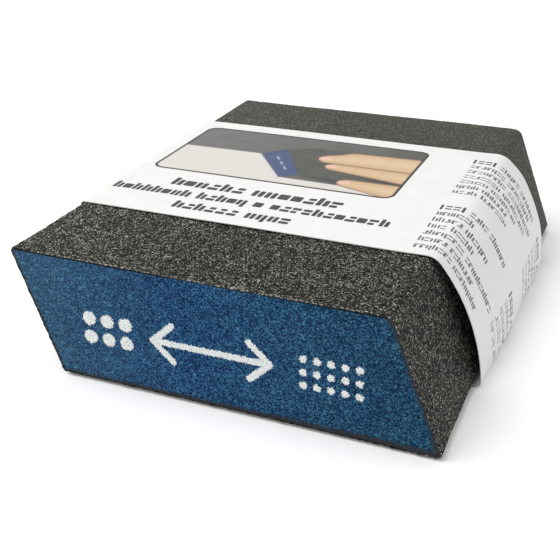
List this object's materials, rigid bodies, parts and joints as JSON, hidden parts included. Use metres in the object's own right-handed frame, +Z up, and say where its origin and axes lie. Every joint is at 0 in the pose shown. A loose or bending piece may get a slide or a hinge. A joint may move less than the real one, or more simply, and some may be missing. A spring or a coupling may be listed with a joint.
{
  "type": "sanding block",
  "caption": "Slanted foam sanding block with abrasive grit on its long faces, and a printed paper sleeve that slides along it.",
  "frame": {"origin": "on the surface that the sleeve rests on, below the middle of the block's cross-section and of its length", "axes": "+X across the block, towards the side whose bottom edge is the sharp one; +Y along the block; +Z up"},
  "size_m": [0.1029, 0.125, 0.0311],
  "materials": {
    "foam": "matte",
    "bond": "satin",
    "grit": "rough",
    "paper": "satin",
    "glue": "satin"
  },
  "bodies": {
    "block": {"foam_core": "foam", "bond_coat_top": "bond", "bond_coat_bottom": "bond", "bond_coat_left": "bond", "bond_coat_right": "bond", "grit_coat_top": "grit", "grit_coat_bottom": "grit", "grit_coat_left": "grit", "grit_coat_right": "grit"},
    "sleeve": {"paper_sleeve": "paper", "glue_strip": "glue"}
  },
  "joints": [
    {"name": "sleeve_slide", "type": "slide", "parent": "block", "child": "sleeve", "axis": [0, 1, 0], "range_m": [-0.1, 0.1]}
  ]
}
